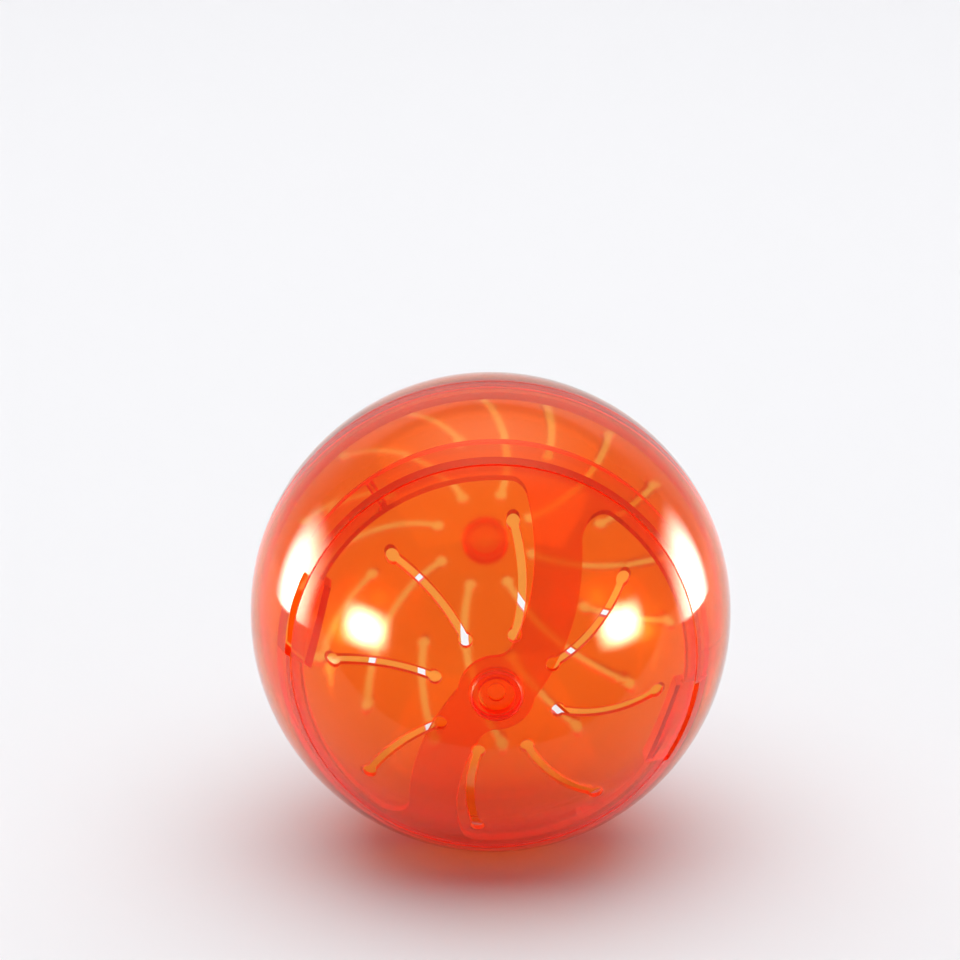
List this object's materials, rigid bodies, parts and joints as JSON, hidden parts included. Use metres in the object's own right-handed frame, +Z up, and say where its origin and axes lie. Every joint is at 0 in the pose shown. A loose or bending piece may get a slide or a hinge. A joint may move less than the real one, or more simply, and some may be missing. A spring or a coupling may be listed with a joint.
{
  "type": "hamster ball",
  "caption": "Clear orange plastic exercise ball for a hamster, in two halves, with curved air slots and a slotted twist-lock door over an S-shaped bar.",
  "frame": {"origin": "centre of the ball", "axes": "-Y out of the front pole, through the door and its hub socket; +Y out of the rear pole; +Z up and +X to the right as the picture shows the ball from the front"},
  "size_m": [0.12, 0.12, 0.12],
  "materials": {
    "shell": "clear tinted polystyrene, polished",
    "door": "clear tinted polystyrene, polished",
    "hub": "clear tinted polystyrene, polished"
  },
  "bodies": {
    "ball": {"front_shell": "shell", "rear_shell": "shell", "rear_hub_cup": "hub"},
    "door_hub": {"front_hub_cup": "hub"},
    "door": {"door": "door"}
  },
  "joints": [
    {"name": "door_lift", "type": "slide", "parent": "ball", "child": "door_hub", "axis": [0, -1, 0], "range_m": [0, 0.045]},
    {"name": "door_turn", "type": "hinge", "parent": "door_hub", "child": "door", "pos_m": [0, -0.058, 0], "axis": [0, 1, 0], "range_deg": [0, 28]}
  ]
}
